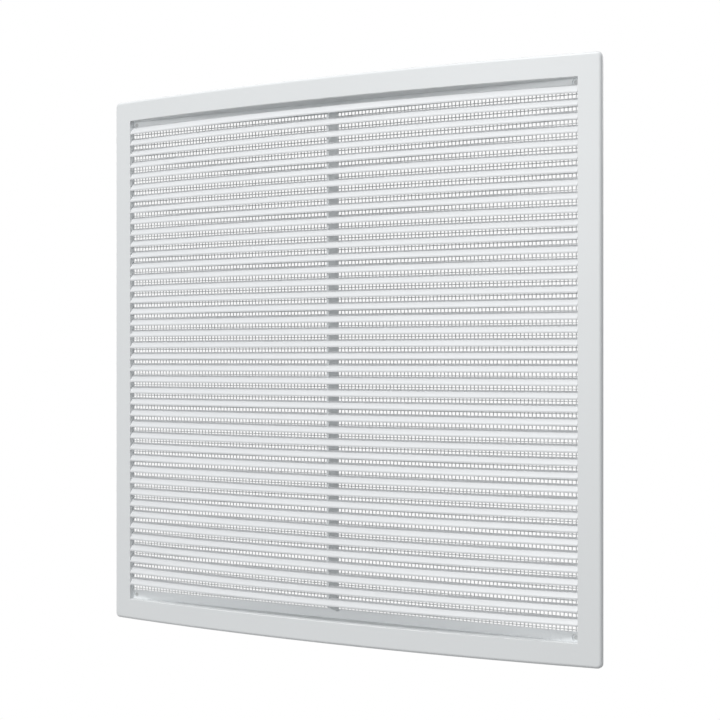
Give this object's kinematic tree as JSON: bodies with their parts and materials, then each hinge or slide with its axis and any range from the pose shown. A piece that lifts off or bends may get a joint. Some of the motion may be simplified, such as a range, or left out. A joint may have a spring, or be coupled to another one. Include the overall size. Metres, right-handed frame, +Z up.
{
  "type": "louvred air grille",
  "caption": "Square white plastic louvred air grille with a bowed face frame, fixed sloping slats, a centre rib and a flat insect screen behind them.",
  "frame": {"origin": "middle of the four wall screws, on the wall plane at the back of the mounting frame", "axes": "+Z up, +Y into the wall; the face looks along -Y"},
  "size_m": [0.45, 0.0202, 0.45],
  "materials": {
    "face_plastic": "smooth moulded plastic with a satin sheen",
    "slat_plastic": "smooth moulded plastic with a satin sheen",
    "frame_plastic": "plain moulded plastic",
    "strip_plastic": "plain extruded plastic",
    "net_plastic": "fine plastic net"
  },
  "bodies": {
    "root": {"bezel_frame": "face_plastic", "mounting_frame": "frame_plastic", "louvre_01": "slat_plastic", "louvre_02": "slat_plastic", "louvre_03": "slat_plastic", "louvre_04": "slat_plastic", "louvre_05": "slat_plastic", "louvre_06": "slat_plastic", "louvre_07": "slat_plastic", "louvre_08": "slat_plastic", "louvre_09": "slat_plastic", "louvre_10": "slat_plastic", "louvre_11": "slat_plastic", "louvre_12": "slat_plastic", "louvre_13": "slat_plastic", "louvre_14": "slat_plastic", "louvre_15": "slat_plastic", "louvre_16": "slat_plastic", "louvre_17": "slat_plastic", "louvre_18": "slat_plastic", "louvre_19": "slat_plastic", "louvre_20": "slat_plastic", "louvre_21": "slat_plastic", "louvre_22": "slat_plastic", "louvre_23": "slat_plastic", "louvre_24": "slat_plastic", "louvre_25": "slat_plastic", "louvre_26": "slat_plastic", "louvre_27": "slat_plastic", "louvre_28": "slat_plastic", "louvre_29": "slat_plastic", "louvre_30": "slat_plastic", "louvre_31": "slat_plastic", "louvre_32": "slat_plastic", "louvre_33": "slat_plastic", "louvre_34": "slat_plastic", "louvre_35": "slat_plastic", "louvre_36": "slat_plastic", "louvre_37": "slat_plastic", "louvre_38": "slat_plastic", "louvre_39": "slat_plastic", "louvre_40": "slat_plastic", "louvre_41": "slat_plastic", "left_side_comb": "frame_plastic", "right_side_comb": "frame_plastic", "centre_mullion": "frame_plastic", "insect_screen": "net_plastic", "screen_retainer_top": "strip_plastic", "screen_retainer_bottom": "strip_plastic", "screen_retainer_left": "strip_plastic", "screen_retainer_right": "strip_plastic"}
  },
  "joints": []
}
